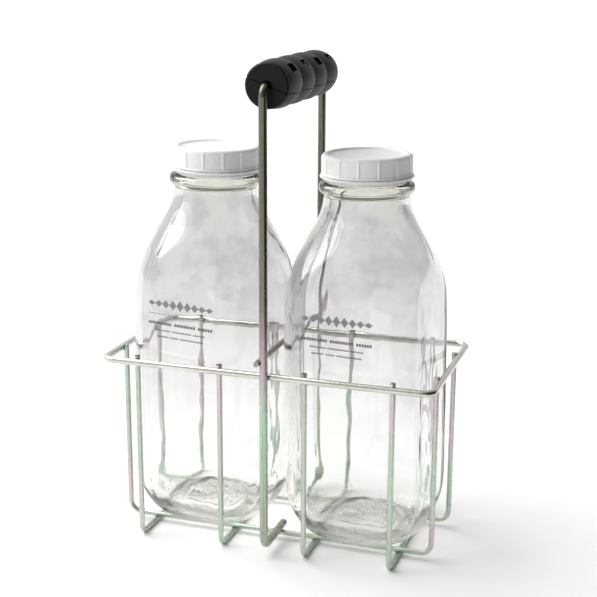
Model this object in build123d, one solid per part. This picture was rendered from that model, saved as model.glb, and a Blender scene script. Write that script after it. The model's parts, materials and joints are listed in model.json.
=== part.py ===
from build123d import *
from math import ceil, cos, exp, log, pi, sin, sqrt
import os

# Milk bottle crate: a welded wire carrier with a high bail handle, loaded with two
# one-litre glass milk bottles and their snap caps.
# Millimetres. The origin is the middle of the footprint, on the surface that the crate
# stands on. +X runs along the crate, +Y towards its back, +Z up.

# --- wires -----------------------------------------------------------------------------
RIM_WIRE = 3.9
BASKET_WIRE = 3.18
BAIL_WIRE = 4.76
WELD_SET_DOWN = 0.5          # how far two welded wires sink into each other
RIM_HALF_LENGTH = 100.0      # centreline
RIM_HALF_DEPTH = 50.0
RIM_HEIGHT = 112.3
RIM_CORNER = 7.0
CROSS_WIRE_PITCH = 52.0
CROSS_WIRE_SHIFT = -1.0      # the set of four stands a little towards -X
CROSS_WIRE_BEND = 5.0
CROSS_WIRE_ABOVE_RIM = 1.2   # cut ends standing above the rim's top
LONG_WIRE_SPACING = 49.0
LONG_WIRE_BEND = 7.0

# --- bail and divider rod --------------------------------------------------------------
BAIL_X = 2.8                 # the bail and the rod beside it straddle the middle
BAIL_HEIGHT = 277.0          # centreline of the straight that carries the grip
BAIL_TOP_BEND = 5.5
BAIL_FOOT_BEND = 6.5
BAIL_FOOT_INSET = 17.5       # distance of the foot's cut end from the middle
BAIL_END_ROUND = 0.9
ROD_HEIGHT = 121.3
ROD_HALF_LENGTH = 57.0

# --- grip ------------------------------------------------------------------------------
GRIP_HALF_LENGTH = 48.0
GRIP_FLANGE = 3.2            # length of the plain flange at the front end
GRIP_CHAMFER = 0.8
GRIP_LOBES = 4
GRIP_FLANGE_RADIUS = 12.7
GRIP_GROOVE_RADIUS = 12.1
GRIP_CREST_RADIUS = 13.8
GRIP_END_RADIUS = 11.7
GRIP_CAVITY_RADIUS = 10.6
GRIP_BORE = 5.9
GRIP_WEB = 1.8
GRIP_TURN = 20.0             # how far the seam is turned from level, in degrees
GRIP_SEAM = 0.44             # gap between the two halves
WINDOW_SIZE = (5.4, 8.6)     # around the grip and along it
WINDOW_ANGLE = 63.0          # above the seam plane
HOOK_ANGLE = 73.0
HOOK_SLOT = (1.8, 8.0)       # a J of three cuts: one along the grip between two around it
HOOK_SLOT_FOOT = (4.6, 2.6)
HOOK_SLOT_TIP = (3.6, 2.6)
CUT_DEPTH = 8.0              # deeper than the shell is thick
LATCH_X = 7.3
LATCH_THICKNESS = 1.5
LATCH_PLAY = 1.6
LATCH_REACH = 5.6            # how far the arm stands past the seam

# --- bottles ---------------------------------------------------------------------------
BOTTLE_X = (-49.0, 50.2)
BOTTLE_LEAN = (0.75, -0.85)  # both tops lean a little towards the middle, in degrees
BOTTLE_TURN = -8.0
SEAT_PLAY = 0.04
BODY_HALF_WIDTH = 42.5
BODY_CORNER = 23.5
NECK_RADIUS = 25.0
NECK_BASE = 205.0            # where the blown body ends and the moulded finish begins
FINISH_OVERLAP = 2.0
FINISH_STEP = 0.1            # how far the finish stands outside the blown neck
SHOULDER_SLOPE = 0.575       # radius gained per millimetre going down
SHOULDER_TOP = 197.4
SHOULDER_SOFTNESS = 3.34
CORNER_SHARPNESS = 13.3      # exponent that blends the round shoulder into the panels
HEEL_HEIGHT = 27.0
HEEL_INSET = 12.5
CORNER_HEEL_HEIGHT = 40.0    # the square's corners draw in further, so the base is nearly round
CORNER_DRAW = 6.0
PUSH_UP_RADIUS = 29.0
PUSH_UP_RISE = 4.5
BODY_WALL = 3.3
NECK_WALL = 5.0
BASE_THICKNESS = 6.5
CAVITY_HEEL = 16.0
CAVITY_HEEL_INSET = 12.8
SECTION_POINTS = 32
SECTION_SPACING = 7.5
BEAD_RADIUS = 27.9
BEAD_HEIGHT = 6.2
BEAD_CENTRE = 210.4
FINISH_RADIUS = 23.7
LIP_RADIUS = 24.3
LIP_HEIGHT = 5.0
LIP_STEP = 0.8
LIP_ROUND = 1.6
BOTTLE_HEIGHT = 226.4
BORE_RADIUS = 20.0

# --- caps ------------------------------------------------------------------------------
CAP_TOP = 230.0
CAP_SKIRT_BOTTOM = 217.8
CAP_RADIUS = 26.1
CAP_INNER_RADIUS = 24.9
CAP_FLANGE_RADIUS = 26.7
CAP_FLANGE_HEIGHT = 1.1
CAP_SHOULDER = 2.6
CAP_RECESS = 1.1
CAP_RECESS_RADIUS = 21.6
CAP_RIBS = 14
CAP_RIB_WIDTH = 0.9
CAP_RIB_PROUD = 0.35
CAP_RIB_DEPTH = 1.0
CAP_RIB_RUN_IN = 0.6         # how far a rib runs into the flange and the shoulder
CAP_FLANGE_SLOPE = 0.4
LINER_PLAY = 0.05            # above and below the liner
LINER_RADIUS = 23.6
LINER_THICKNESS = 1.0
BAND_BOTTOM = 214.2
BAND_FLANGE_RADIUS = 27.3
BAND_FLANGE_HEIGHT = 0.9
BAND_FOOT_RADIUS = 25.1
BAND_INNER_RADIUS = 24.2
BAND_GAP = 0.35              # air between the band and the cap after the bridges are cut

# --- derived places --------------------------------------------------------------------
CROSS_WIRE_Z = BASKET_WIRE / 2
LONG_WIRE_Z = CROSS_WIRE_Z + BASKET_WIRE - WELD_SET_DOWN
BASE_TOP = LONG_WIRE_Z + BASKET_WIRE / 2
WIRE_INSIDE_RIM = (RIM_WIRE + BASKET_WIRE) / 2 - WELD_SET_DOWN
CROSS_WIRE_Y = RIM_HALF_DEPTH - WIRE_INSIDE_RIM
LONG_WIRE_X = RIM_HALF_LENGTH - WIRE_INSIDE_RIM
BAIL_Y = RIM_HALF_DEPTH + (RIM_WIRE + BAIL_WIRE) / 2 - WELD_SET_DOWN
BAIL_FOOT_Z = BASE_TOP + BAIL_WIRE / 2 - WELD_SET_DOWN
ROD_X = BAIL_X - (BAIL_WIRE + BASKET_WIRE) / 2 + WELD_SET_DOWN
BASE_EDGE = BODY_HALF_WIDTH - HEEL_INSET


def bent_wire(points, bend, diameter):
    """A round wire along straight runs joined by arcs of one bend radius."""
    path = FilletPolyline(*points, radius=bend)
    section = Plane(origin=path @ 0, z_dir=path % 0) * Circle(diameter / 2)
    return sweep(section, path=path)


def top_rim():
    """The closed rectangular hoop that every upright is welded to."""
    path = RectangleRounded(2 * RIM_HALF_LENGTH, 2 * RIM_HALF_DEPTH, RIM_CORNER).wire()
    path = Pos(0, 0, RIM_HEIGHT) * path
    section = Plane(origin=path @ 0, z_dir=path % 0) * Circle(RIM_WIRE / 2)
    return sweep(section, path=path)


def cross_wire(x, rim):
    """A U from front to back under the bottles, welded inside the rim."""
    top = RIM_HEIGHT + RIM_WIRE / 2 + CROSS_WIRE_ABOVE_RIM
    points = [
        (x, -CROSS_WIRE_Y, top),
        (x, -CROSS_WIRE_Y, CROSS_WIRE_Z),
        (x, CROSS_WIRE_Y, CROSS_WIRE_Z),
        (x, CROSS_WIRE_Y, top),
    ]
    return bent_wire(points, CROSS_WIRE_BEND, BASKET_WIRE) - rim


def long_wire(y, rim, cross_wires):
    """A U from end to end, lying on the cross wires."""
    top = RIM_HEIGHT + RIM_WIRE / 2
    points = [
        (-LONG_WIRE_X, y, top),
        (-LONG_WIRE_X, y, LONG_WIRE_Z),
        (LONG_WIRE_X, y, LONG_WIRE_Z),
        (LONG_WIRE_X, y, top),
    ]
    wire = bent_wire(points, LONG_WIRE_BEND, BASKET_WIRE) - rim
    for other in cross_wires:
        wire = wire - other
    return wire


def bail(rim, long_wires):
    """The handle wire: feet under the bottles, legs outside the rim, straight top."""
    half = [
        (-BAIL_FOOT_INSET, BAIL_FOOT_Z),
        (-BAIL_Y, BAIL_FOOT_Z),
        (-BAIL_Y, BAIL_HEIGHT),
    ]
    points = [(BAIL_X, y, z) for y, z in half]
    points += [(BAIL_X, -y, z) for y, z in reversed(half)]
    bends = [BAIL_FOOT_BEND, BAIL_TOP_BEND, BAIL_TOP_BEND, BAIL_FOOT_BEND]
    wire = bent_wire(points, bends, BAIL_WIRE)
    foot_ends = wire.faces().sort_by(Axis.Z)
    foot_ends = [f for f in foot_ends if f.geom_type == GeomType.PLANE]
    edges = [e for f in foot_ends for e in f.edges()]
    wire = fillet(edges, BAIL_END_ROUND)
    for other in [rim, *long_wires]:
        wire = wire - other
    return wire


def divider_rod(bail_wire):
    """A straight rod beside the bail, which keeps the two bottles apart."""
    rod = Cylinder(BASKET_WIRE / 2, 2 * ROD_HALF_LENGTH, rotation=(90, 0, 0))
    return Pos(ROD_X, 0, ROD_HEIGHT) * rod - bail_wire


# --- grip ------------------------------------------------------------------------------
def grip_outline():
    """Half section of the grip: along its axis, then out to its radius."""
    start = -GRIP_HALF_LENGTH
    end = GRIP_HALF_LENGTH
    first = start + GRIP_FLANGE
    pitch = (end - first) / GRIP_LOBES
    rise = GRIP_CREST_RADIUS - GRIP_GROOVE_RADIUS
    lines = [
        Line((start, 0), (start, GRIP_FLANGE_RADIUS - GRIP_CHAMFER)),
        Line((start, GRIP_FLANGE_RADIUS - GRIP_CHAMFER), (start + GRIP_CHAMFER, GRIP_FLANGE_RADIUS)),
        Line((start + GRIP_CHAMFER, GRIP_FLANGE_RADIUS), (first, GRIP_GROOVE_RADIUS)),
    ]
    for lobe in range(GRIP_LOBES):
        a = first + lobe * pitch
        b = a + pitch
        last = lobe == GRIP_LOBES - 1
        height = GRIP_END_RADIUS if last else GRIP_GROOVE_RADIUS
        middle = ((a + b) / 2, (GRIP_GROOVE_RADIUS + height) / 2 + rise)
        lines.append(ThreePointArc((a, GRIP_GROOVE_RADIUS), middle, (b, height)))
    lines.append(Line((end, GRIP_END_RADIUS), (end, 0)))
    lines.append(Line((end, 0), (start, 0)))
    return make_face(Wire(lines))


def place_on_bail(piece):
    """Turn a grip half to the seam's angle and set it on the bail's straight."""
    return Pos(BAIL_X, 0, BAIL_HEIGHT) * Rot(0, GRIP_TURN, 0) * piece


def lobe_middle(lobe):
    """Where a finger lobe is centred along the grip."""
    pitch = (2 * GRIP_HALF_LENGTH - GRIP_FLANGE) / GRIP_LOBES
    return -GRIP_HALF_LENGTH + GRIP_FLANGE + (lobe + 0.5) * pitch


def grip_cavity():
    """The hollow between the webs, with the bore that runs on the bail."""
    bore = Cylinder(GRIP_BORE / 2, 2 * GRIP_HALF_LENGTH + 2, rotation=(90, 0, 0))
    pitch = (2 * GRIP_HALF_LENGTH - GRIP_FLANGE) / GRIP_LOBES
    room = pitch - GRIP_WEB
    pocket = Cylinder(GRIP_CAVITY_RADIUS, room, rotation=(90, 0, 0))
    for lobe in range(GRIP_LOBES):
        shift = -GRIP_WEB / 2 if lobe == GRIP_LOBES - 1 else 0
        bore += Pos(0, lobe_middle(lobe) + shift, 0) * pocket
    return bore


def latch(side, lobe):
    """A snap arm that starts in this half's shell and reaches behind a window."""
    height = GRIP_CAVITY_RADIUS + LATCH_REACH
    arm = Box(LATCH_THICKNESS, WINDOW_SIZE[1] - LATCH_PLAY, height)
    return Pos(side * LATCH_X, lobe_middle(lobe), GRIP_CAVITY_RADIUS - height / 2) * arm


def grip_half():
    """One moulded half, above its seam. The other is the same half turned over."""
    body = Rot(0, 0, 90) * revolve(grip_outline(), Axis.X) - grip_cavity()
    tall = 2 * GRIP_CREST_RADIUS
    keep = Box(2 * tall, 2 * GRIP_HALF_LENGTH + 4, tall)
    body = body & Pos(0, 0, (tall + GRIP_SEAM) / 2) * keep
    window = Box(*WINDOW_SIZE, CUT_DEPTH)
    hook_slot = Box(*HOOK_SLOT, CUT_DEPTH)
    for side, cut in ((1, HOOK_SLOT_FOOT), (-1, HOOK_SLOT_TIP)):
        across = (cut[0] - HOOK_SLOT[0]) / 2
        along = side * (HOOK_SLOT[1] - cut[1]) / 2
        hook_slot += Pos(across, along, 0) * Box(*cut, CUT_DEPTH)
    for lobe in (0, 2):
        place = Pos(0, lobe_middle(lobe), 0) * Rot(0, 90 - WINDOW_ANGLE, 0)
        body -= place * Pos(0, 0, GRIP_GROOVE_RADIUS) * window
        body += latch(-1, lobe)
    for lobe in (1, 3):
        place = Pos(0, lobe_middle(lobe), 0) * Rot(0, 90 - HOOK_ANGLE, 0)
        body -= place * Pos(0, 0, GRIP_GROOVE_RADIUS) * hook_slot
    return body


# --- bottle ----------------------------------------------------------------------------
def panel_radius(angle, half, corner):
    """Distance from the axis to a rounded square's outline, in one direction."""
    c, s = abs(cos(angle)), abs(sin(angle))
    c, s = max(c, s), min(c, s)
    flat = half - corner
    if half * s <= flat * c:
        return half / c
    reach = flat * (c + s)
    return reach + sqrt(reach**2 - 2 * flat**2 + corner**2)


def shoulder_radius(z):
    """The round shoulder: a cone that eases into the straight neck."""
    drop = (SHOULDER_TOP - z) / SHOULDER_SOFTNESS
    eased = drop if drop > 30 else log(1 + exp(drop))
    return NECK_RADIUS + SHOULDER_SLOPE * SHOULDER_SOFTNESS * eased


def heel_inset(z, height, inset):
    """How far the heel's quarter ellipse has drawn in at a height."""
    up = min(max(z / height, 0), 1)
    return inset * (1 - sqrt(1 - (1 - up) ** 2))


def corner_draw(angle, z):
    """How much further the heel draws in at the square's corners than at its flats."""
    flat = BODY_HALF_WIDTH - BODY_CORNER
    reach = flat * sqrt(2) + BODY_CORNER - BODY_HALF_WIDTH
    corner = (panel_radius(angle, BODY_HALF_WIDTH, BODY_CORNER) - BODY_HALF_WIDTH) / reach
    up = min(max(z / CORNER_HEEL_HEIGHT, 0), 1)
    return CORNER_DRAW * corner * (1 - up) ** 2


def body_radius(angle, z):
    """Distance from the axis to the outside of the glass."""
    round_part = shoulder_radius(z)
    panel = panel_radius(angle, BODY_HALF_WIDTH, BODY_CORNER)
    n = CORNER_SHARPNESS
    blended = (round_part**-n + panel**-n) ** (-1 / n)
    return blended - heel_inset(z, HEEL_HEIGHT, HEEL_INSET) - corner_draw(angle, z)


def wall(z):
    """The wall is thin in the body and thickens up the shoulder to the neck."""
    up = min(max((z - 150.0) / (NECK_BASE - 150.0), 0), 1)
    return BODY_WALL + (NECK_WALL - BODY_WALL) * up


def ring_face(radius_at, z):
    """A closed smooth section of the body at one height."""
    points = []
    for i in range(SECTION_POINTS):
        angle = 2 * pi * i / SECTION_POINTS
        r = radius_at(angle, z)
        points.append((r * cos(angle), r * sin(angle), z))
    return make_face(Spline(*points, periodic=True))


def stacked(radius_at, heights):
    return loft([ring_face(radius_at, z) for z in heights])


def section_heights(floor, heel, top):
    """Heights that crowd towards the bottom of a rounded heel, then climb evenly."""
    heel_steps = 6
    heights = [floor + heel * (1 - cos(pi / 2 * i / heel_steps)) for i in range(heel_steps)]
    start = floor + heel
    climb = ceil((top - start) / SECTION_SPACING)
    heights += [start + (top - start) * i / climb for i in range(climb + 1)]
    return heights


def inner_radius(angle, z):
    """Distance from the axis to the inside of the glass."""
    round_part = body_radius(angle, max(z, HEEL_HEIGHT)) - wall(z)
    corner = corner_draw(angle, z) - corner_draw(angle, max(z, HEEL_HEIGHT))
    return round_part - corner - heel_inset(z - BASE_THICKNESS, CAVITY_HEEL, CAVITY_HEEL_INSET)


def moulded_finish():
    """Neck top: bead, plain finish and the lip that the cap snaps over."""
    low = NECK_BASE - FINISH_OVERLAP
    collar = NECK_RADIUS + FINISH_STEP
    half_bead = BEAD_HEIGHT / 2
    lip_low = BOTTLE_HEIGHT - LIP_HEIGHT
    bend = LIP_ROUND * (1 - cos(pi / 4))
    lines = [
        Line((BORE_RADIUS, low), (collar, low)),
        Line((collar, low), (collar, BEAD_CENTRE - half_bead)),
        ThreePointArc(
            (collar, BEAD_CENTRE - half_bead),
            (BEAD_RADIUS, BEAD_CENTRE),
            (collar, BEAD_CENTRE + half_bead),
        ),
        Line((collar, BEAD_CENTRE + half_bead), (FINISH_RADIUS, BEAD_CENTRE + half_bead)),
        Line((FINISH_RADIUS, BEAD_CENTRE + half_bead), (FINISH_RADIUS, lip_low)),
        Line((FINISH_RADIUS, lip_low), (LIP_RADIUS, lip_low + LIP_STEP)),
        Line((LIP_RADIUS, lip_low + LIP_STEP), (LIP_RADIUS, BOTTLE_HEIGHT - LIP_ROUND)),
        ThreePointArc(
            (LIP_RADIUS, BOTTLE_HEIGHT - LIP_ROUND),
            (LIP_RADIUS - bend, BOTTLE_HEIGHT - bend),
            (LIP_RADIUS - LIP_ROUND, BOTTLE_HEIGHT),
        ),
        Line((LIP_RADIUS - LIP_ROUND, BOTTLE_HEIGHT), (BORE_RADIUS, BOTTLE_HEIGHT)),
        Line((BORE_RADIUS, BOTTLE_HEIGHT), (BORE_RADIUS, low)),
    ]
    half_section = make_face(Wire(lines))
    return revolve(Plane.XZ * half_section, Axis.Z)


def glass_bottle():
    """A rounded-square one-litre bottle, standing at its own origin."""
    outside = section_heights(0, HEEL_HEIGHT, NECK_BASE)
    cavity = section_heights(BASE_THICKNESS, CAVITY_HEEL, NECK_BASE + 1)
    body = stacked(body_radius, outside)
    push_up_ball = (PUSH_UP_RADIUS**2 + PUSH_UP_RISE**2) / (2 * PUSH_UP_RISE)
    body -= Pos(0, 0, PUSH_UP_RISE - push_up_ball) * Sphere(push_up_ball)
    body -= stacked(inner_radius, cavity)
    return body + moulded_finish()


def place_on_bottle(side, piece):
    """Stand a piece on the wires with the bottle on one side, which rests on its lower edge."""
    lean = BOTTLE_LEAN[side]
    seat = BASE_TOP + SEAT_PLAY + BASE_EDGE * sin(abs(lean) * pi / 180)
    return Pos(BOTTLE_X[side], 0, seat) * Rot(0, lean, 0) * Rot(0, 0, BOTTLE_TURN) * piece


# --- cap -------------------------------------------------------------------------------
def snap_cap():
    """White moulded cap: ribbed skirt, flange at its foot, recessed top."""
    foot = CAP_SKIRT_BOTTOM
    step = foot + CAP_FLANGE_HEIGHT
    ceiling = BOTTLE_HEIGHT + LINER_THICKNESS + 2 * LINER_PLAY
    edge = CAP_TOP - CAP_SHOULDER
    bend = CAP_SHOULDER * (1 - cos(pi / 4))
    recess_edge = CAP_RECESS_RADIUS + CAP_RECESS
    lines = [
        Line((0, ceiling), (CAP_INNER_RADIUS, ceiling)),
        Line((CAP_INNER_RADIUS, ceiling), (CAP_INNER_RADIUS, foot)),
        Line((CAP_INNER_RADIUS, foot), (CAP_FLANGE_RADIUS, foot)),
        Line((CAP_FLANGE_RADIUS, foot), (CAP_FLANGE_RADIUS, step - CAP_FLANGE_SLOPE)),
        Line((CAP_FLANGE_RADIUS, step - CAP_FLANGE_SLOPE), (CAP_RADIUS, step)),
        Line((CAP_RADIUS, step), (CAP_RADIUS, edge)),
        ThreePointArc(
            (CAP_RADIUS, edge),
            (CAP_RADIUS - bend, CAP_TOP - bend),
            (CAP_RADIUS - CAP_SHOULDER, CAP_TOP),
        ),
        Line((CAP_RADIUS - CAP_SHOULDER, CAP_TOP), (recess_edge, CAP_TOP)),
        Line((recess_edge, CAP_TOP), (CAP_RECESS_RADIUS, CAP_TOP - CAP_RECESS)),
        Line((CAP_RECESS_RADIUS, CAP_TOP - CAP_RECESS), (0, CAP_TOP - CAP_RECESS)),
        Line((0, CAP_TOP - CAP_RECESS), (0, ceiling)),
    ]
    cap = revolve(Plane.XZ * make_face(Wire(lines)), Axis.Z)
    rib = Box(CAP_RIB_DEPTH, CAP_RIB_WIDTH, edge - step + 2 * CAP_RIB_RUN_IN)
    out = CAP_RADIUS + CAP_RIB_PROUD - CAP_RIB_DEPTH / 2
    for i in range(CAP_RIBS):
        turn = Rot(0, 0, 360 / CAP_RIBS * i)
        cap += turn * Pos(out, 0, (step + edge) / 2) * rib
    return cap


def cap_liner():
    """Foam seal pressed between the cap's ceiling and the bottle's lip."""
    middle = BOTTLE_HEIGHT + LINER_PLAY + LINER_THICKNESS / 2
    return Pos(0, 0, middle) * Cylinder(LINER_RADIUS, LINER_THICKNESS)


def tamper_band():
    """The flanged ring below the cap that stays round the neck when the cap is pulled."""
    top = CAP_SKIRT_BOTTOM - BAND_GAP
    step = top - BAND_FLANGE_HEIGHT
    section = Polyline(
        (BAND_INNER_RADIUS, BAND_BOTTOM),
        (BAND_FOOT_RADIUS, BAND_BOTTOM),
        (BAND_FLANGE_RADIUS, step),
        (BAND_FLANGE_RADIUS, top),
        (BAND_INNER_RADIUS, top),
        close=True,
    )
    return revolve(Plane.XZ * make_face(section), Axis.Z)


# --- assembly --------------------------------------------------------------------------
def build_all():
    parts = {}
    rim = top_rim()
    parts["top_rim"] = rim
    cross_wires = []
    for i in range(4):
        x = CROSS_WIRE_SHIFT + (i - 1.5) * CROSS_WIRE_PITCH
        wire = cross_wire(x, rim)
        cross_wires.append(wire)
        parts[f"cross_wire_{i + 1}"] = wire
    long_wires = []
    for name, side in (("front", -1), ("back", 1)):
        wire = long_wire(side * LONG_WIRE_SPACING / 2, rim, cross_wires)
        long_wires.append(wire)
        parts[f"long_wire_{name}"] = wire
    bail_wire = bail(rim, long_wires)
    parts["bail"] = bail_wire
    parts["divider_rod"] = divider_rod(bail_wire)
    half = grip_half()
    parts["grip_upper_half"] = place_on_bail(half)
    parts["grip_lower_half"] = place_on_bail(Rot(0, 180, 0) * half)
    glass = glass_bottle()
    cap = snap_cap()
    for side, name in enumerate(("left", "right")):
        parts[f"glass_bottle_{name}"] = place_on_bottle(side, glass)
        parts[f"tamper_band_{name}"] = place_on_bottle(side, tamper_band())
        parts[f"cap_{name}"] = place_on_bottle(side, cap)
        parts[f"cap_liner_{name}"] = place_on_bottle(side, cap_liner())
    return parts


def write_parts(parts):
    os.makedirs("parts", exist_ok=True)
    for name, shape in parts.items():
        export_step(shape, f"parts/{name}.step")
        print(f"{name}: {len(shape.solids())} solid, {shape.volume:.0f} mm3")


write_parts(build_all())
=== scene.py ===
"""Milk bottle crate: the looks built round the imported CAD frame. Metres, +Z up."""
import json
from math import atan2, cos, exp, log, pi, radians, sin, sqrt

import bmesh
import bpy
from mathutils import Matrix, Vector, noise

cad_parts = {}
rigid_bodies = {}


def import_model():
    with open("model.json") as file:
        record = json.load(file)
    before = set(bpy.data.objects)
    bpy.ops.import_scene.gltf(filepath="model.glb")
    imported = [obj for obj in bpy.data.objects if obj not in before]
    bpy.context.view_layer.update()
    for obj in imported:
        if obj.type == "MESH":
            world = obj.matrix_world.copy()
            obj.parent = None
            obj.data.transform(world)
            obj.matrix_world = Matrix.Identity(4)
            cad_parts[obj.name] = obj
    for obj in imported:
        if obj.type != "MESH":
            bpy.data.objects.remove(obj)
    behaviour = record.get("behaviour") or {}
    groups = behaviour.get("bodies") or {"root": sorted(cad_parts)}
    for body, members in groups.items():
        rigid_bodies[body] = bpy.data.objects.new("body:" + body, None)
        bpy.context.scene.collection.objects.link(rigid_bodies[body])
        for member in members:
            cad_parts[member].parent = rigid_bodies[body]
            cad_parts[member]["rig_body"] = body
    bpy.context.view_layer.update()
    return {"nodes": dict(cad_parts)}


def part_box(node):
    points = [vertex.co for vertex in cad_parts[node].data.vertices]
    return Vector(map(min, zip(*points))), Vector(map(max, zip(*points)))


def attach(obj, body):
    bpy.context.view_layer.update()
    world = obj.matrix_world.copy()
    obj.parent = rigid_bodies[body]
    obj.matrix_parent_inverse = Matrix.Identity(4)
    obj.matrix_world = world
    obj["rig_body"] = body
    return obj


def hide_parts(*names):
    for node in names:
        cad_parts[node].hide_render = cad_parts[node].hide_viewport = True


MM = 0.001
SIDES = ("left", "right")
DARK_SIDE = (0.93, -0.35, 0.0)          # where the studio is darkest
CARD_X = 0.36                           # how far to the right the dark card stands
KEY_SIDE = (-1.0, 0.05, 1.0)            # where the key light comes from
KEY_STRENGTH = 3.1
KEY_SPREAD = 60                         # degrees across, which softens its shadows

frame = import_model()

# --- camera ----------------------------------------------------------------------------
CAMERA_PLACE = (0.2373, -0.7029, 0.3456)
CAMERA_YAW = 0.31809         # radians, from looking along +Y
CAMERA_PITCH = 0.26319       # radians, downwards
CAMERA_ROLL = 0.00497
CAMERA_LENS = 76.99          # mm, on a sensor 36 mm wide

# --- bail's straight, in millimetres -----------------------------------------------------
BAIL_X = 2.8
BAIL_STRAIGHT_Z = 277.0

# --- bottle, in millimetres about its own axis, standing at z = 0 --------------------------
BOTTLE_TURN = radians(-8)
BOTTLE_SEAT = {               # x and z of the base's middle, then the lean in degrees
    "left": (-49.0, 6.293, 0.75),
    "right": (50.2, 6.345, -0.85),
}
BODY_HALF_WIDTH = 42.5
BODY_CORNER = 23.5
NECK_RADIUS = 25.0
NECK_BASE = 205.0
SHOULDER_SLOPE = 0.575
SHOULDER_TOP = 197.4
SHOULDER_SOFTNESS = 3.34
CORNER_SHARPNESS = 13.3
HEEL_HEIGHT = 27.0
HEEL_INSET = 12.5
CORNER_HEEL_HEIGHT = 40.0
CORNER_DRAW = 6.0
CORNER_REACH = 7.87           # how much further out a corner is than a flat
PUSH_UP_RADIUS = 29.0
PUSH_UP_RISE = 4.5
PUSH_UP_STEP = 0.7
KNURLS = 64
KNURL_HEIGHT = 0.18
BODY_WALL = 3.3
NECK_WALL = 5.0
THICKENING_STARTS = 150.0
BASE_THICKNESS = 6.5
CORNER_THICKENING = 0.45
CAVITY_HEEL = 16.0
CAVITY_HEEL_INSET = 12.8
BEAD_RADIUS = 27.9
BEAD_HEIGHT = 6.2
BEAD_CENTRE = 210.4
FINISH_RADIUS = 23.7
LIP_RADIUS = 24.3
LIP_HEIGHT = 5.0
LIP_ROUND = 1.6
BOTTLE_HEIGHT = 226.4
BORE_RADIUS = 20.0
BOTTLE_SEGMENTS = 192

# --- cap, in millimetres in the bottle's own frame ------------------------------------------
CAP_TOP = 230.0
CAP_FOOT = 217.8
CAP_RADIUS = 26.4
CAP_INNER_RADIUS = 24.9
CAP_FLANGE_RADIUS = 26.65
CAP_FLANGE_HEIGHT = 1.1
CAP_SHOULDER = 2.6
CAP_RECESS = 1.1
CAP_RECESS_RADIUS = 21.6
CAP_RIBS = 14
CAP_RIB_WIDTH = 0.5
CAP_PANEL_DEPTH = 0.4
CAP_PANEL_TOP = 2.3          # how far the panels run up into the rounded shoulder
CAP_PANEL_CORNER = 1.2
CAP_PANEL_FADE = 2.4
CAP_CEILING = 227.5
BAND_BOTTOM = 214.25
BAND_TOP = 217.4
BAND_FLANGE_RADIUS = 27.25
BAND_FLANGE_HEIGHT = 0.9
BAND_FOOT_RADIUS = 25.05
BAND_INNER_RADIUS = 24.25
BAND_BRIDGES = 12
BAND_SEGMENTS = 144


# --- shader helpers --------------------------------------------------------------------
def new_material(name):
    material = bpy.data.materials.new(name)
    material.use_nodes = True
    return material, material.node_tree


def add(tree, kind, **values):
    """A node with its properties and plain socket values set by name."""
    node = tree.nodes.new(kind)
    for key, value in values.items():
        if hasattr(node, key):
            setattr(node, key, value)
        else:
            node.inputs[key.replace("_", " ")].default_value = value
    return node


def principled(tree):
    return tree.nodes["Principled BSDF"]


def pattern(tree, scale, detail=4.0, roughness=0.5, stretch=(1, 1, 1)):
    """Noise in the piece's own space, in features per metre. Returns its value socket."""
    where = add(tree, "ShaderNodeTexCoord")
    mapping = add(tree, "ShaderNodeMapping", Scale=stretch)
    texture = add(tree, "ShaderNodeTexNoise", Scale=scale, Detail=detail, Roughness=roughness)
    tree.links.new(where.outputs["Object"], mapping.inputs["Vector"])
    tree.links.new(mapping.outputs["Vector"], texture.inputs["Vector"])
    return texture.outputs["Fac"]


def ramp(tree, value, stops):
    """A colour ramp over (position, colour) stops."""
    node = add(tree, "ShaderNodeValToRGB")
    elements = node.color_ramp.elements
    while len(elements) < len(stops):
        elements.new(0.5)
    for element, (position, colour) in zip(elements, stops):
        element.position = position
        element.color = (*colour, 1)
    tree.links.new(value, node.inputs["Fac"])
    return node.outputs["Color"]


def remap(tree, value, low, high, from_low=0.0, from_high=1.0):
    """Carries from_low..from_high over to low..high, and holds still outside them."""
    node = add(tree, "ShaderNodeMapRange")
    node.inputs["From Min"].default_value = from_low
    node.inputs["From Max"].default_value = from_high
    node.inputs["To Min"].default_value = low
    node.inputs["To Max"].default_value = high
    tree.links.new(value, node.inputs["Value"])
    return node.outputs["Result"]


def mixed(tree, factor, first, second, blend="MIX"):
    node = add(tree, "ShaderNodeMix", data_type="RGBA", blend_type=blend)
    tree.links.new(factor, node.inputs["Factor"])
    for socket, value in ((node.inputs[6], first), (node.inputs[7], second)):
        if isinstance(value, tuple):
            socket.default_value = (*value, 1)
        else:
            tree.links.new(value, socket)
    return node.outputs[2]


def arithmetic(tree, operation, first, second):
    node = add(tree, "ShaderNodeMath", operation=operation)
    tree.links.new(first, node.inputs[0])
    tree.links.new(second, node.inputs[1])
    return node.outputs["Value"]


def height_above_floor(tree):
    """The object's own Z, in metres."""
    where = add(tree, "ShaderNodeTexCoord")
    split = add(tree, "ShaderNodeSeparateXYZ")
    tree.links.new(where.outputs["Object"], split.inputs["Vector"])
    return split.outputs["Z"]


def bump(tree, *layers):
    """Bumps laid over each other, each a height socket, a strength and a depth in metres."""
    normal = None
    for height, strength, distance in layers:
        node = add(tree, "ShaderNodeBump", Strength=strength, Distance=distance)
        tree.links.new(height, node.inputs["Height"])
        if normal:
            tree.links.new(normal, node.inputs["Normal"])
        normal = node.outputs["Normal"]
    tree.links.new(normal, principled(tree).inputs["Normal"])


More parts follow.
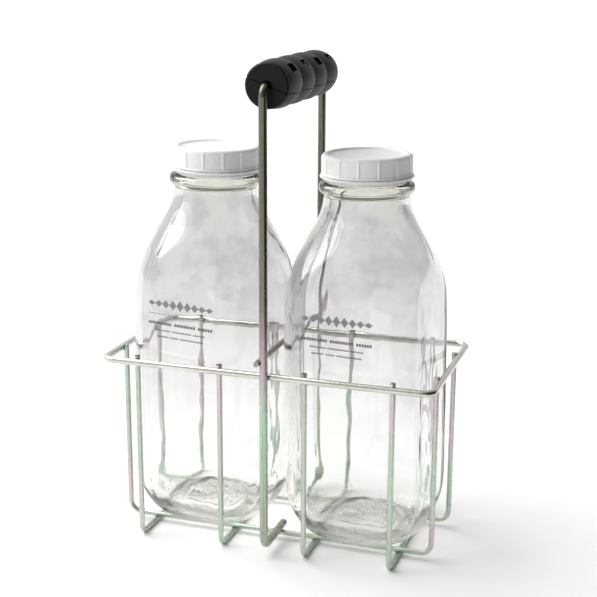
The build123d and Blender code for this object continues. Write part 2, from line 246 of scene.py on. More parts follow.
# --- materials -------------------------------------------------------------------------
def zinc(name, film, roughness, spotted=1.0):
    """Zinc plate under a thin passivation film. film(tree) gives the film's colour.

    spotted is the strength of its dark spots and of its fine relief.
    """
    material, tree = new_material(name)
    shader = principled(tree)
    shader.inputs["Metallic"].default_value = 1.0
    shader.inputs["Specular Tint"].default_value = (0.93, 0.90, 0.95, 1)
    fine = pattern(tree, 420, detail=4)
    mottle = ramp(tree, fine, [(0.34, (0.86, 0.86, 0.85)), (0.56, (1.0, 1.0, 1.0))])
    colour = mixed(tree, remap(tree, fine, 0.6, 1.0), film(tree), mottle, "MULTIPLY")
    spots = remap(tree, pattern(tree, 700, detail=2), spotted, 0.0, 0.22, 0.27)
    colour = mixed(tree, spots, colour, (0.12, 0.10, 0.08))
    tree.links.new(colour, shader.inputs["Base Color"])
    rough = remap(tree, pattern(tree, 160, detail=4), roughness[0], roughness[1], 0.3, 0.7)
    tree.links.new(rough, shader.inputs["Roughness"])
    bump(tree, (fine, 0.15 * spotted, 0.0001))
    return material


def wandering_film(stops):
    """A film whose colour drifts slowly from place to place."""
    return lambda tree: ramp(tree, pattern(tree, 13, detail=2), stops)


def drawn_film(tree):
    """The bail's film: dark olive high up, pink at the rim, green below, in drawn streaks."""
    streaks = pattern(tree, 800, detail=3, stretch=(1, 1, 0.02))
    shift = remap(tree, streaks, -0.012, 0.012, 0.35, 0.65)
    height = remap(tree, height_above_floor(tree), 0.0, 1.0, 0.0, 0.28)
    zone = arithmetic(tree, "ADD", height, shift)
    colour = ramp(tree, zone, [
        (0.10, (0.42, 0.46, 0.36)),
        (0.30, (0.42, 0.60, 0.46)),
        (0.42, (0.52, 0.42, 0.46)),
        (0.56, (0.23, 0.21, 0.18)),
        (0.95, (0.17, 0.17, 0.13)),
    ])
    shade = ramp(tree, streaks, [
        (0.36, (0.84, 0.84, 0.83)),
        (0.52, (1.0, 1.0, 1.0)),
        (0.66, (1.14, 1.12, 1.12)),
    ])
    return mixed(tree, remap(tree, streaks, 0.9, 1.0), colour, shade, "MULTIPLY")


GREEN_FILM = [
    (0.34, (0.66, 0.57, 0.59)),
    (0.45, (0.57, 0.61, 0.53)),
    (0.53, (0.50, 0.63, 0.52)),
    (0.62, (0.57, 0.64, 0.54)),
    (0.72, (0.66, 0.57, 0.60)),
]
SILVER_FILM = [
    (0.36, (0.66, 0.66, 0.58)),
    (0.50, (0.76, 0.77, 0.71)),
    (0.64, (0.66, 0.60, 0.63)),
]
OLIVE_FILM = [
    (0.36, (0.33, 0.31, 0.24)),
    (0.60, (0.46, 0.45, 0.37)),
]


def weld_metal():
    """Burnt and dull where two wires were fused, with rusty edges."""
    material, tree = new_material("weld_metal")
    shader = principled(tree)
    shader.inputs["Metallic"].default_value = 0.75
    stops = [
        (0.30, (0.05, 0.04, 0.035)),
        (0.48, (0.17, 0.13, 0.10)),
        (0.60, (0.34, 0.31, 0.27)),
        (0.74, (0.20, 0.10, 0.06)),
    ]
    grain = pattern(tree, 700, detail=5, roughness=0.65)
    tree.links.new(ramp(tree, grain, stops), shader.inputs["Base Color"])
    tree.links.new(remap(tree, grain, 0.45, 0.8), shader.inputs["Roughness"])
    bump(tree, (grain, 0.6, 0.0003))
    return material


def bottle_glass():
    """Blown soda-lime glass: clear in the body, cloudy up the shoulder, and greyer there by painted
    shade.
    """
    material, tree = new_material("bottle_glass")
    shader = principled(tree)
    shader.inputs["Transmission Weight"].default_value = 1.0
    shader.inputs["IOR"].default_value = 1.51
    height = height_above_floor(tree)
    up = remap(tree, height, 0.0, 1.0, 0.05, 0.17)
    # Painted shade: the glass's colour turns grey up the body and shoulder, standing for the grey
    # surroundings seen through it.
    colour_with_painted_shade = ramp(tree, remap(tree, height, 0.0, 1.0, 0.0, 0.24), [
        (0.21, (0.978, 0.977, 0.974)),
        (0.68, (0.812, 0.805, 0.802)),
        (0.87, (0.822, 0.815, 0.805)),
        (0.90, (0.92, 0.91, 0.84)),
    ])
    cloud = remap(tree, pattern(tree, 38, detail=5, roughness=0.6), 0.0, 1.0, 0.47, 0.54)
    colour_with_painted_shade = mixed(tree, arithmetic(tree, "MULTIPLY", cloud, up), colour_with_painted_shade, (0.89, 0.895, 0.915), "MULTIPLY")
    tree.links.new(colour_with_painted_shade, shader.inputs["Base Color"])
    smear = remap(tree, pattern(tree, 90, detail=5), 0.0, 0.04, 0.5, 0.8)
    tree.links.new(smear, shader.inputs["Roughness"])
    low = remap(tree, height, 1.0, 0.0, 0.008, 0.022)
    stipple = arithmetic(tree, "MULTIPLY", pattern(tree, 620, detail=2), low)
    ripple = pattern(tree, 60, detail=2, stretch=(1, 1, 0.4))
    bump(tree, (ripple, 0.14, 0.001), (stipple, 0.7, 0.0008))
    depth = add(tree, "ShaderNodeVolumeAbsorption", Color=(0.74, 0.74, 0.58, 1), Density=8.0)
    output = tree.nodes["Material Output"]
    tree.links.new(depth.outputs["Volume"], output.inputs["Volume"])
    path = add(tree, "ShaderNodeLightPath")
    clear = add(tree, "ShaderNodeBsdfTransparent", Color=(0.90, 0.90, 0.90, 1))
    choice = add(tree, "ShaderNodeMixShader")
    tree.links.new(path.outputs["Is Shadow Ray"], choice.inputs["Fac"])
    tree.links.new(shader.outputs["BSDF"], choice.inputs[1])
    tree.links.new(clear.outputs["BSDF"], choice.inputs[2])
    tree.links.new(choice.outputs["Shader"], output.inputs["Surface"])
    return material


def white_plastic():
    """Moulded polyethylene: satin, faintly grained, with a little handling dirt."""
    material, tree = new_material("cap_white")
    shader = principled(tree)
    dirt = remap(tree, pattern(tree, 120, detail=6), 0.0, 0.6, 0.55, 0.8)
    colour = mixed(tree, dirt, (0.92, 0.92, 0.915), (0.80, 0.79, 0.77))
    tree.links.new(colour, shader.inputs["Base Color"])
    shader.inputs["Subsurface Weight"].default_value = 0.12
    shader.inputs["Subsurface Radius"].default_value = (0.004, 0.004, 0.004)
    shader.inputs["Subsurface Scale"].default_value = 0.5
    grain = pattern(tree, 1800, detail=3)
    tree.links.new(remap(tree, grain, 0.34, 0.46), shader.inputs["Roughness"])
    bump(tree, (grain, 0.12, 0.0001))
    return material


def black_plastic():
    """Moulded grip plastic: satin black, scuffed and greyed at random, with painted shade near black in
    the grooves, on the ends and in the window walls.
    """
    material, tree = new_material("grip_black")
    shader = principled(tree)
    where = add(tree, "ShaderNodeTexCoord")
    across = add(tree, "ShaderNodeVectorMath", operation="MULTIPLY")
    across.inputs[1].default_value = (1, 0, 1)
    from_axis = add(tree, "ShaderNodeVectorMath", operation="DISTANCE")
    from_axis.inputs[1].default_value = (BAIL_X * MM, 0, BAIL_STRAIGHT_Z * MM)
    tree.links.new(where.outputs["Object"], across.inputs[0])
    tree.links.new(across.outputs["Vector"], from_axis.inputs[0])
    # Painted shade: near black close to the axis, in the grooves and over the ends.
    painted_shade_by_radius = remap(tree, from_axis.outputs["Value"], 0.0, 1.0, 0.0120, 0.0131)
    # Painted shade: the ends and window edges face along the axis and are painted near black, as the
    # shade that falls in them.
    facing = add(tree, "ShaderNodeSeparateXYZ")
    tree.links.new(where.outputs["Normal"], facing.inputs["Vector"])
    along = add(tree, "ShaderNodeMath", operation="ABSOLUTE")
    tree.links.new(facing.outputs["Y"], along.inputs[0])
    sides = remap(tree, along.outputs["Value"], 1.0, 0.0, 0.55, 0.85)
    painted_shade_mask = arithmetic(tree, "MULTIPLY", painted_shade_by_radius, sides)
    scuff = remap(tree, pattern(tree, 210, detail=6, roughness=0.7), 0.0, 0.7, 0.56, 0.72)
    outside = mixed(tree, scuff, (0.020, 0.020, 0.021), (0.040, 0.039, 0.038))
    # The painted shade mixed in: near black where the mask is low, the scuffed grey elsewhere.
    tree.links.new(mixed(tree, painted_shade_mask, (0.003, 0.003, 0.003), outside), shader.inputs["Base Color"])
    grain = pattern(tree, 1500, detail=3)
    tree.links.new(remap(tree, grain, 0.42, 0.58), shader.inputs["Roughness"])
    shader.inputs["Specular IOR Level"].default_value = 0.25
    bump(tree, (grain, 0.3, 0.00012))
    return material


def liner_foam():
    material, tree = new_material("liner_foam")
    shader = principled(tree)
    cells = pattern(tree, 2600, detail=2)
    colour = ramp(tree, cells, [(0.35, (0.78, 0.78, 0.76)), (0.6, (0.88, 0.88, 0.87))])
    tree.links.new(colour, shader.inputs["Base Color"])
    shader.inputs["Roughness"].default_value = 0.85
    bump(tree, (cells, 0.4, 0.0002))
    return material


def printing_ink(name, dark, light):
    """Fired enamel print, a little uneven."""
    material, tree = new_material(name)
    shader = principled(tree)
    cover = pattern(tree, 1600, detail=4)
    tree.links.new(ramp(tree, cover, [(0.3, dark), (0.7, light)]), shader.inputs["Base Color"])
    shader.inputs["Roughness"].default_value = 0.45
    return material


# --- mesh helpers ----------------------------------------------------------------------
def mesh_piece(name, vertices, faces, material):
    mesh = bpy.data.meshes.new(name)
    mesh.from_pydata([Vector(v) * MM for v in vertices], [], faces)
    mesh.validate()
    tidy = bmesh.new()
    tidy.from_mesh(mesh)
    bmesh.ops.recalc_face_normals(tidy, faces=tidy.faces)
    tidy.to_mesh(mesh)
    tidy.free()
    mesh.polygons.foreach_set("use_smooth", [True] * len(mesh.polygons))
    mesh.materials.append(material)
    piece = bpy.data.objects.new(name, mesh)
    bpy.context.scene.collection.objects.link(piece)
    return piece


def rings_to_mesh(rings, close_start, close_end):
    """Quads between rings of equal length, with a fan to a middle point at each closed end."""
    vertices = [v for ring in rings for v in ring]
    n = len(rings[0])
    faces = []
    for j in range(len(rings) - 1):
        for i in range(n):
            k = (i + 1) % n
            faces.append((j * n + i, j * n + k, (j + 1) * n + k, (j + 1) * n + i))
    last = (len(rings) - 1) * n
    for hub_point, first in ((close_start, 0), (close_end, last)):
        if hub_point is not None:
            hub = len(vertices)
            vertices.append(hub_point)
            faces += [(first + i, first + (i + 1) % n, hub) for i in range(n)]
    return vertices, faces


def loop_rings(rings):
    """Quads round a profile that closes on itself."""
    vertices, faces = rings_to_mesh(rings, None, None)
    n = len(rings[0])
    last = (len(rings) - 1) * n
    for i in range(n):
        k = (i + 1) % n
        faces.append((last + i, last + k, k, i))
    return vertices, faces


def stand_on_seat(piece, side):
    """Moves a piece from the bottle's own frame to where the bottle stands and leans."""
    x, z, lean = BOTTLE_SEAT[side]
    seat = Matrix.Translation(Vector((x, 0, z)) * MM)
    turn = Matrix.Rotation(BOTTLE_TURN, 4, "Z")
    piece.data.transform(seat @ Matrix.Rotation(radians(lean), 4, "Y") @ turn)


# --- bottle ----------------------------------------------------------------------------
def panel_radius(angle):
    """Distance from the axis to the rounded square's outline, in one direction."""
    c, s = abs(cos(angle)), abs(sin(angle))
    c, s = max(c, s), min(c, s)
    flat = BODY_HALF_WIDTH - BODY_CORNER
    if BODY_HALF_WIDTH * s <= flat * c:
        return BODY_HALF_WIDTH / c
    reach = flat * (c + s)
    return reach + sqrt(reach**2 - 2 * flat**2 + BODY_CORNER**2)


def shoulder_radius(z):
    """The neck's radius, opening out along a straight cone below the shoulder's top."""
    drop = (SHOULDER_TOP - z) / SHOULDER_SOFTNESS
    eased = drop if drop > 30 else log(1 + exp(drop))
    return NECK_RADIUS + SHOULDER_SLOPE * SHOULDER_SOFTNESS * eased


def heel_inset(z, height, inset):
    """How far a quarter-round heel draws in at this height above the base."""
    up = min(max(z / height, 0), 1)
    return inset * (1 - sqrt(1 - (1 - up) ** 2))


def corner_draw(angle, z):
    """How much further the heel draws in at the square's corners than at its flats."""
    corner = (panel_radius(angle) - BODY_HALF_WIDTH) / CORNER_REACH
    up = min(max(z / CORNER_HEEL_HEIGHT, 0), 1)
    return CORNER_DRAW * corner * (1 - up) ** 2


def body_radius(angle, z):
    """The outside: the shoulder's cone and the rounded square blended where they meet."""
    n = CORNER_SHARPNESS
    blended = (shoulder_radius(z) ** -n + panel_radius(angle) ** -n) ** (-1 / n)
    return blended - heel_inset(z, HEEL_HEIGHT, HEEL_INSET) - corner_draw(angle, z)


def wall(z):
    """The glass thickens from the body's wall to the neck's."""
    up = min(max((z - THICKENING_STARTS) / (NECK_BASE - THICKENING_STARTS), 0), 1)
    return BODY_WALL + (NECK_WALL - BODY_WALL) * up


def smooth_step(value, low, high):
    t = min(max((value - low) / (high - low), 0), 1)
    return t * t * (3 - 2 * t)


def inner_radius(angle, z):
    """The inside follows the outside at the wall's thickness, which wanders as blown glass does."""
    round_part = body_radius(angle, max(z, HEEL_HEIGHT)) - wall(z)
    smooth = round_part - heel_inset(z - BASE_THICKNESS, CAVITY_HEEL, CAVITY_HEEL_INSET)
    smooth -= corner_draw(angle, z) - corner_draw(angle, max(z, HEEL_HEIGHT))
    spot = Vector((cos(angle), sin(angle), z / 70)) * 1.9
    wave = noise.noise(spot) * 0.22 + noise.noise(spot * 3.1) * 0.10
    low = max(0, 1 - (z - BASE_THICKNESS) / 26)
    place = Vector((cos(angle), sin(angle), z / 14))
    lumps = (noise.noise(place * 3.1) * 0.9 + noise.noise(place * 8.0) * 0.35) * low
    off_corner = abs((angle % (pi / 2)) - pi / 4)
    thicker = CORNER_THICKENING * (1 - smooth_step(off_corner, 0.20, 0.30))
    fade = min(1, max(0, (NECK_BASE - z) / 25))
    return smooth + (wave + lumps - thicker) * fade


def spaced(low, high, step):
    count = max(1, round((high - low) / step))
    return [low + (high - low) * i / count for i in range(count + 1)]


def heel_heights(floor, height, steps):
    return [floor + height * (1 - cos(pi / 2 * i / steps)) for i in range(steps)]


def ring(radius_at, z):
    """One loop of vertices. radius_at and z may be functions of the angle."""
    out = []
    for i in range(BOTTLE_SEGMENTS):
        angle = 2 * pi * i / BOTTLE_SEGMENTS
        r = radius_at(angle) if callable(radius_at) else radius_at
        h = z(angle) if callable(z) else z
        out.append((r * cos(angle), r * sin(angle), h))
    return out


def finish_profile():
    """Radius and height from the neck's base, over the bead and the lip, into the bore."""
    half = BEAD_HEIGHT / 2
    points = [(NECK_RADIUS, NECK_BASE)]
    for i in range(13):
        t = pi * i / 12
        points.append((NECK_RADIUS + 0.15 + (BEAD_RADIUS - NECK_RADIUS - 0.15) * sin(t) ** 0.8,
                       BEAD_CENTRE - half * cos(t)))
    lip_low = BOTTLE_HEIGHT - LIP_HEIGHT
    points += [(FINISH_RADIUS + 0.4, BEAD_CENTRE + half + 0.1),
               (FINISH_RADIUS, BEAD_CENTRE + half + 0.5),
               (FINISH_RADIUS, lip_low - 0.4), (FINISH_RADIUS + 0.2, lip_low),
               (LIP_RADIUS, lip_low + 0.7)]
    for i in range(6):
        t = pi / 2 * i / 5
        points.append((LIP_RADIUS - LIP_ROUND * (1 - cos(t)), BOTTLE_HEIGHT - LIP_ROUND * (1 - sin(t))))
    for i in range(1, 5):
        t = pi / 2 * i / 4
        points.append((BORE_RADIUS + LIP_ROUND * (1 - sin(t)), BOTTLE_HEIGHT - LIP_ROUND * (1 - cos(t))))
    points += [(BORE_RADIUS, z) for z in (220.0, 215.0, 210.0)]
    return points


def base_rings():
    """Underside: the push-up, then the knurled bearing ring round it."""
    rings = []
    for share in (0.15, 0.35, 0.55, 0.62, 0.66, 0.70, 0.75, 0.84, 0.93, 0.985, 1.0):
        step = PUSH_UP_STEP * exp(-((share - 0.66) / 0.04) ** 2)
        rings.append(ring(PUSH_UP_RADIUS * share, PUSH_UP_RISE * (1 - share**2) + step))
    for share in (0.25, 0.6):
        def out(angle, share=share):
            edge = body_radius(angle, 0) - 0.3
            return PUSH_UP_RADIUS + (edge - PUSH_UP_RADIUS) * share

        rings.append(ring(out, knurl_lift))
    return rings


def knurl_lift(angle):
    return KNURL_HEIGHT * (0.5 + 0.5 * cos(KNURLS * angle))


def cavity_floor(share, angle):
    """The inside of the base: domed over the push-up, with a ridge round it, and uneven."""
    dome = 2.6 * (1 - share**2) ** 1.5
    ridge = 1.0 * exp(-((share - 0.74) / 0.07) ** 2)
    spot = Vector((share * cos(angle), share * sin(angle), 0.3))
    uneven = noise.noise(spot * 2.3) * 0.8 + noise.noise(spot * 7.0) * 0.5
    return BASE_THICKNESS + dome + ridge + uneven * min(1, 2 - 2 * share)


def bottle_mesh():
    rings = base_rings()
    heights = heel_heights(0, HEEL_HEIGHT, 12) + spaced(HEEL_HEIGHT, NECK_BASE - 1, 3.0)
    rings += [ring(lambda a, z=z: body_radius(a, z), z) for z in heights]
    rings += [ring(r, z) for r, z in finish_profile()]
    down = spaced(BASE_THICKNESS + CAVITY_HEEL, NECK_BASE, 3.0)[::-1]
    down += heel_heights(BASE_THICKNESS, CAVITY_HEEL, 10)[::-1]
    rings += [ring(lambda a, z=z: inner_radius(a, z), z) for z in down]
    for share in [1 - 0.04 * k for k in range(1, 25)]:
        rings.append(ring(lambda a, s=share: inner_radius(a, BASE_THICKNESS) * s,
                          lambda a, s=share: cavity_floor(s, a)))
    return rings_to_mesh(rings, (0, 0, PUSH_UP_RISE), (0, 0, cavity_floor(0, 0)))


# --- print on the front panel, in millimetres ------------------------------------------------
PRINT_PROUD = 0.05
LOZENGE_ROW = (140.3, 22.0, 3.4)        # height up the bottle, half width, half height
LOZENGE_COUNT = 9
LOZENGE_FILL = 0.46                     # half a lozenge's width, as a share of the pitch
BAR_LINES = [                           # height up, tall, bars in each group, pitch, share inked
    (134.0, 0.5, (12, 16, 14), 0.95, 0.6),
    (128.3, 1.7, (10, 9, 6), 1.62, 0.72),
    (124.0, 1.0, (9, 12, 7), 1.12, 0.66),
    (120.2, 1.0, (7, 5, 14), 1.12, 0.66),
]


def on_glass(across, z):
    """The point of the front panel that is this far round from its middle."""
    flat = BODY_HALF_WIDTH - BODY_CORNER
    side = 1 if across >= 0 else -1
    beyond = max(0, abs(across) - flat)
    turn = beyond / BODY_CORNER
    x = side * (min(abs(across), flat) + BODY_CORNER * sin(turn))
    y = -(flat + BODY_CORNER * cos(turn))
    angle = atan2(y, x)
    r = body_radius(angle, z) + PRINT_PROUD
    return (r * cos(angle), r * sin(angle), z)


def printed_patch(vertices, faces, left, right, low_at, high_at):
    """A strip of ink between two edges given as functions of the place across."""
    steps = max(2, 2 * int((right - left) / 0.8))
    first = len(vertices)
    for i in range(steps + 1):
        s = left + (right - left) * i / steps
        vertices.append(on_glass(s, low_at(s)))
        vertices.append(on_glass(s, high_at(s)))
    for i in range(steps):
        a = first + 2 * i
        faces.append((a, a + 2, a + 3, a + 1))


def bar_line(vertices, faces, z, height, words, cell, fill):
    """Short upright bars in groups, as a plain border that stands for a line of print."""
    total = sum(words) * cell + (len(words) - 1) * cell
    s = -total / 2
    for count in words:
        for _ in range(count):
            printed_patch(vertices, faces, s, s + cell * fill,
                          lambda _s: z - height / 2, lambda _s: z + height / 2)
            s += cell
        s += cell


def lozenges(vertices, faces, z, half_width, half_height):
    """A plain row of lozenges, tallest in the middle, on a thin line."""
    pitch = 2 * half_width / LOZENGE_COUNT
    reach = LOZENGE_FILL * pitch
    middle = LOZENGE_COUNT // 2
    printed_patch(vertices, faces, -half_width, half_width, lambda _s: z - 0.25, lambda _s: z + 0.25)
    for k in range(LOZENGE_COUNT):
        centre = -half_width + (k + 0.5) * pitch
        tall = half_height * (1 - 0.55 * abs(k - middle) / middle)

        def half(s, centre=centre, tall=tall):
            return 0.1 + tall * max(0, 1 - abs(s - centre) / reach)

        printed_patch(vertices, faces, centre - reach, centre + reach,
                      lambda s: z - half(s), lambda s: z + half(s))


def bottle_print(side, ink, pale_ink):
    vertices, faces = [], []
    lozenges(vertices, faces, *LOZENGE_ROW)
    ornament = mesh_piece(f"printed_row_{side}", vertices, faces, pale_ink)
    vertices, faces = [], []
    for line in BAR_LINES:
        bar_line(vertices, faces, *line)
    lines = mesh_piece(f"printed_block_{side}", vertices, faces, ink)
    for piece in (ornament, lines):
        stand_on_seat(piece, side)
        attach(piece, f"bottle_{side}")


# --- caps ------------------------------------------------------------------------------
def rib_angles():
    """Directions crowded at each rib and even between ribs."""
    sector = 2 * pi / CAP_RIBS
    edge = (CAP_RIB_WIDTH / 2 + 0.5) / CAP_RADIUS
    near = [-1.0, -0.75, -0.5, -0.25, 0.0, 0.25, 0.5, 0.75, 1.0]
    between = 12
    angles = []
    for k in range(CAP_RIBS):
        base = k * sector
        angles += [base + edge * t for t in near]
        room = sector - 2 * edge
        angles += [base + edge + room * i / between for i in range(1, between)]
    return angles


def panel_depth(angle, z, low, high):
    """How far the skirt is drawn in between two ribs: a panel that fades out up the shoulder."""
    sector = 2 * pi / CAP_RIBS
    off = (angle + sector / 2) % sector - sector / 2
    from_rib = CAP_RADIUS * abs(off) - CAP_RIB_WIDTH / 2
    corner = CAP_PANEL_CORNER
    from_top = high - z - corner * max(0, 1 - from_rib / corner) ** 2
    beside = smooth_step(min(from_rib, z - low), 0.0, 0.5)
    return CAP_PANEL_DEPTH * beside * smooth_step(from_top, 0.0, CAP_PANEL_FADE)


def cap_mesh():
    """The snap cap: a flanged, ribbed skirt, a round shoulder and a recessed top with a nub."""
    step = CAP_FOOT + CAP_FLANGE_HEIGHT
    edge = CAP_TOP - CAP_SHOULDER
    panel_low, panel_high = step - 0.1, edge + CAP_PANEL_TOP
    profile = [(CAP_INNER_RADIUS, CAP_CEILING), (CAP_INNER_RADIUS, CAP_FOOT + 0.3),
               (CAP_INNER_RADIUS + 0.3, CAP_FOOT), (CAP_FLANGE_RADIUS - 0.35, CAP_FOOT),
               (CAP_FLANGE_RADIUS, CAP_FOOT + 0.2), (CAP_FLANGE_RADIUS, step - 0.4),
               (CAP_FLANGE_RADIUS - 0.08, step - 0.25), (CAP_RADIUS, step - 0.1)]
    profile += [(CAP_RADIUS, z) for z in spaced(step, edge, 0.45)]
    for i in range(1, 13):
        t = pi / 2 * i / 12
        profile.append((CAP_RADIUS - CAP_SHOULDER * (1 - cos(t)), edge + CAP_SHOULDER * sin(t)))
    recess_edge = CAP_RECESS_RADIUS + CAP_RECESS
    floor = CAP_TOP - CAP_RECESS
    profile += [(recess_edge + 0.35, CAP_TOP), (recess_edge, CAP_TOP - 0.12),
                (CAP_RECESS_RADIUS + 0.35, floor + 0.25), (CAP_RECESS_RADIUS - 0.1, floor),
                (17.0, floor - 0.02), (12.0, floor - 0.04), (6.0, floor - 0.05),
                (2.4, floor - 0.05), (1.7, floor + 0.12), (1.2, floor + 0.22), (0.5, floor + 0.25)]
    rings = []
    for r, z in profile:
        loop = []
        for angle in rib_angles():
            reach = r
            if r > CAP_RADIUS - CAP_SHOULDER and step - 0.3 < z:
                reach -= panel_depth(angle, z, panel_low, panel_high)
            loop.append((reach * cos(angle), reach * sin(angle), z))
        rings.append(loop)
    return rings_to_mesh(rings, (0, 0, CAP_CEILING), (0, 0, floor + 0.25))


def band_mesh():
    """The flanged tamper ring, with the torn nubs of its bridges along the top."""
    step = BAND_TOP - BAND_FLANGE_HEIGHT
    profile = [(BAND_INNER_RADIUS, BAND_TOP - 0.3), (BAND_INNER_RADIUS, BAND_BOTTOM + 0.4),
               (BAND_INNER_RADIUS + 0.3, BAND_BOTTOM), (BAND_FOOT_RADIUS - 0.2, BAND_BOTTOM),
               (BAND_FOOT_RADIUS, BAND_BOTTOM + 0.2), (BAND_FOOT_RADIUS + 0.9, step - 0.9),
               (BAND_FLANGE_RADIUS - 0.3, step - 0.15), (BAND_FLANGE_RADIUS, step + 0.15),
               (BAND_FLANGE_RADIUS, BAND_TOP - 0.3), (BAND_FLANGE_RADIUS - 0.3, BAND_TOP),
               (BAND_INNER_RADIUS + 0.3, BAND_TOP)]
    rings = []
    for r, z in profile:
        loop = []
        for i in range(BAND_SEGMENTS):
            angle = 2 * pi * i / BAND_SEGMENTS
            torn = i % (BAND_SEGMENTS // BAND_BRIDGES) < 2
            nub = 0.3 if z >= BAND_TOP and torn else 0.0
            loop.append((r * cos(angle), r * sin(angle), z + nub))
        rings.append(loop)
    return loop_rings(rings)


# --- welds -----------------------------------------------------------------------------
ALONG_X = ((1, 0, 0), (0, 1, 0))
ALONG_Y = ((0, 1, 0), (1, 0, 0))
WIRE_RADIUS = 1.59
SINK = 0.25                             # how far a weld sits in from a wire's outer side
RIM_WELD = (2.1, 0.75, 1.9)             # half sizes along the joint, across it and upwards
BASE_WELD = (1.9, 1.9, 0.6)
BAIL_WELD = (2.6, 0.8, 2.2)
CUT_END = (1.66, 1.66, 0.45)


def weld_spot(name, place, directions, size, seed, material):
    """Metal squeezed out where two crossing wires were fused: a lumpy flattened bead."""
    lat, lon = 10, 20
    u, v = (Vector(direction) for direction in directions)
    w = u.cross(v)
    rings = []
    for i in range(1, lat):
        t = pi * i / lat
        loop = []
        for j in range(lon):
            p = 2 * pi * j / lon
            unit = Vector((sin(t) * cos(p), sin(t) * sin(p), cos(t)))
            lump = 1 + 0.28 * noise.noise(unit * 1.7 + Vector((seed, 0.5 * seed, 0)))
            shaped = Vector((unit.x * size[0], unit.y * size[1], unit.z * size[2])) * lump
            loop.append(tuple(Vector(place) + u * shaped.x + v * shaped.y + w * shaped.z))
        rings.append(loop)
    top = tuple(Vector(place) + w * size[2])
    bottom = tuple(Vector(place) - w * size[2])
    vertices, faces = rings_to_mesh(rings, top, bottom)
    piece = mesh_piece(name, vertices, faces, material)
    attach(piece, "crate")


def cad_box_mm(node):
    return tuple(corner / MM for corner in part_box(node))


def crossing_welds(material):
    """A weld at every crossing of the wires under the bottles and along the rim."""
    rim_low, rim_high = cad_box_mm("top_rim")
    rim_z = (rim_low.z + rim_high.z) / 2
    seed = 1
    for number in range(1, 5):
        low, high = cad_box_mm(f"cross_wire_{number}")
        x = (low.x + high.x) / 2
        for name, y, inward in (("front", low.y, 1), ("back", high.y, -1)):
            weld = (x, y + inward * SINK, rim_z)
            weld_spot(f"rim_weld_{number}_{name}", weld, ALONG_X, RIM_WELD, seed, material)
            cut = (x, y + inward * WIRE_RADIUS, high.z - 0.05)
            weld_spot(f"cut_end_{number}_{name}", cut, ALONG_X, CUT_END, seed + 100, material)
            seed += 1
        for name in ("front", "back"):
            long_low, long_high = cad_box_mm(f"long_wire_{name}")
            weld = (x, (long_low.y + long_high.y) / 2, long_low.z + SINK)
            weld_spot(f"base_weld_{number}_{name}", weld, ALONG_X, BASE_WELD, seed, material)
            seed += 1
    for name in ("front", "back"):
        low, high = cad_box_mm(f"long_wire_{name}")
        y = (low.y + high.y) / 2
        for end, x, inward in (("left", low.x, 1), ("right", high.x, -1)):
            weld = (x + inward * SINK, y, rim_z)
            weld_spot(f"end_weld_{name}_{end}", weld, ALONG_Y, RIM_WELD, seed, material)
            seed += 1
    bail_low, bail_high = cad_box_mm("bail")
    bail_x = (bail_low.x + bail_high.x) / 2
    for name, y, inward in (("front", rim_low.y, 1), ("back", rim_high.y, -1)):
        weld = (bail_x, y + inward * SINK, rim_z)
        weld_spot(f"bail_weld_{name}", weld, ALONG_X, BAIL_WELD, seed, material)
        seed += 1


# --- studio ----------------------------------------------------------------------------
def camera():
    data = bpy.data.cameras.new("camera")
    data.lens = CAMERA_LENS
    data.sensor_width = 36.0
    data.clip_end = 100.0
    yaw, pitch, roll = CAMERA_YAW, CAMERA_PITCH, CAMERA_ROLL
    back = Vector((sin(yaw) * cos(pitch), -cos(yaw) * cos(pitch), sin(pitch)))
    level = Vector((cos(yaw), sin(yaw), 0))
    rise = level.cross(-back)
    right = level * cos(roll) + rise * sin(roll)
    up = rise * cos(roll) - level * sin(roll)
    turn = Matrix((right, up, back)).transposed().to_4x4()
    obj = bpy.data.objects.new("camera", data)
    obj.matrix_world = Matrix.Translation(CAMERA_PLACE) @ turn
    bpy.context.scene.collection.objects.link(obj)
    bpy.context.scene.camera = obj


def floor():
    size = 30.0
    mesh = bpy.data.meshes.new("floor")
    corners = [(-size, -size, 0), (size, -size, 0), (size, size, 0), (-size, size, 0)]
    mesh.from_pydata(corners, [], [(0, 1, 2, 3)])
    material, tree = new_material("floor_pale")
    shader = principled(tree)
    shader.inputs["Base Color"].default_value = (0.93, 0.93, 0.93, 1)
    shader.inputs["Roughness"].default_value = 0.9
    shader.inputs["Specular IOR Level"].default_value = 0.0
    mesh.materials.append(material)
    obj = bpy.data.objects.new("floor", mesh)
    bpy.context.scene.collection.objects.link(obj)


def black_card():
    """A dark card to the right, out of the camera's sight, that shades the right-hand sides."""
    mesh = bpy.data.meshes.new("black_card")
    front, back, top = -0.40, 0.12, 0.42
    outline = ((front, 0.0), (back, 0.0), (back, top), (front, top))
    corners = [(CARD_X, y, z) for y, z in outline]
    mesh.from_pydata(corners, [], [(0, 1, 2, 3)])
    material, tree = new_material("card_black")
    principled(tree).inputs["Base Color"].default_value = (0.02, 0.02, 0.02, 1)
    principled(tree).inputs["Roughness"].default_value = 1.0
    mesh.materials.append(material)
    obj = bpy.data.objects.new("black_card", mesh)
    obj.visible_camera = False
    bpy.context.scene.collection.objects.link(obj)


def sun(name, direction, strength, angle):
    data = bpy.data.lights.new(name, "SUN")
    data.energy = strength
    data.angle = radians(angle)
    obj = bpy.data.objects.new(name, data)
    obj.rotation_euler = Vector(direction).to_track_quat("Z", "Y").to_euler()
    bpy.context.scene.collection.objects.link(obj)


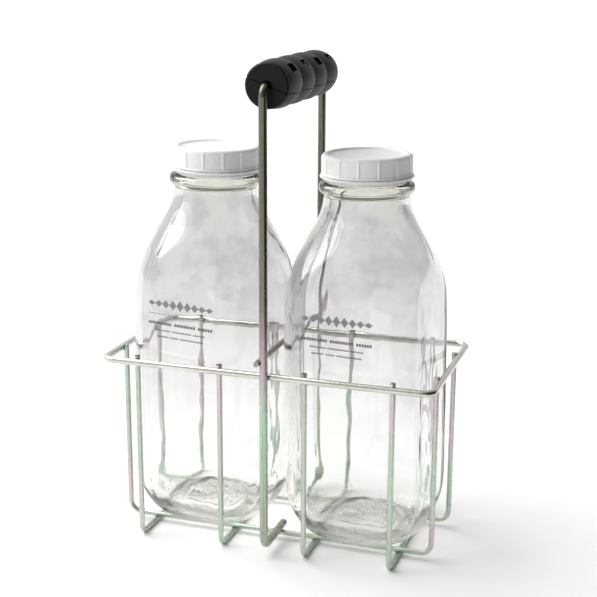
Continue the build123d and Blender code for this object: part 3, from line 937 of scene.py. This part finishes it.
def surroundings():
    """A pale studio, palest to the left, with a dark side to the right of the crate."""
    world = bpy.data.worlds.new("studio")
    world.use_nodes = True
    tree = world.node_tree
    where = add(tree, "ShaderNodeTexCoord")
    towards = add(tree, "ShaderNodeVectorMath", operation="DOT_PRODUCT")
    towards.inputs[1].default_value = Vector(DARK_SIDE).normalized()
    tree.links.new(where.outputs["Generated"], towards.inputs[0])
    shade = ramp(tree, remap(tree, towards.outputs["Value"], 0.0, 1.0, -1.0, 1.0), [
        (0.30, (0.80, 0.80, 0.80)),
        (0.58, (0.52, 0.52, 0.53)),
        (0.80, (0.10, 0.10, 0.11)),
    ])
    tree.links.new(shade, tree.nodes["Background"].inputs["Color"])
    bpy.context.scene.world = world


def light_settings():
    scene = bpy.context.scene
    scene.view_settings.view_transform = "Standard"
    scene.cycles.max_bounces = 20
    scene.cycles.transmission_bounces = 18
    scene.cycles.glossy_bounces = 8
    scene.cycles.sample_clamp_indirect = 6.0


# --- build -----------------------------------------------------------------------------
def finish_wires():
    green = zinc("zinc_green", wandering_film(GREEN_FILM), (0.26, 0.38))
    silver = zinc("zinc_silver", wandering_film(SILVER_FILM), (0.14, 0.24))
    olive = zinc("zinc_olive", wandering_film(OLIVE_FILM), (0.24, 0.36))
    drawn = zinc("zinc_drawn", drawn_film, (0.24, 0.30), spotted=0.15)
    finishes = {"top_rim": silver, "bail": drawn, "divider_rod": olive}
    for node, obj in frame["nodes"].items():
        if obj["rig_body"] == "crate":
            repaint(node, finishes.get(node, green))


def repaint(node, material):
    mesh = frame["nodes"][node].data
    mesh.materials.clear()
    mesh.materials.append(material)


def stand_in(name, mesh, material, side, body, node):
    """A finer mesh that takes one CAD node's place on its body."""
    piece = mesh_piece(f"{name}_{side}", *mesh, material)
    stand_on_seat(piece, side)
    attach(piece, f"{body}_{side}")
    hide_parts(f"{node}_{side}")


def build_bottles():
    glass = bottle_glass()
    ink = printing_ink("printing_ink", (0.05, 0.05, 0.055), (0.10, 0.10, 0.105))
    pale_ink = printing_ink("pale_printing_ink", (0.20, 0.20, 0.20), (0.30, 0.30, 0.30))
    white = white_plastic()
    foam = liner_foam()
    for side in SIDES:
        stand_in("blown_bottle", bottle_mesh(), glass, side, "bottle", "glass_bottle")
        bottle_print(side, ink, pale_ink)
        stand_in("torn_band", band_mesh(), white, side, "bottle", "tamper_band")
        stand_in("ribbed_cap", cap_mesh(), white, side, "cap", "cap")
        repaint(f"cap_liner_{side}", foam)


camera()
floor()
black_card()
surroundings()
light_settings()
sun("key", KEY_SIDE, KEY_STRENGTH, KEY_SPREAD)
finish_wires()
build_bottles()
grip = black_plastic()
for half in ("grip_upper_half", "grip_lower_half"):
    repaint(half, grip)
crossing_welds(weld_metal())
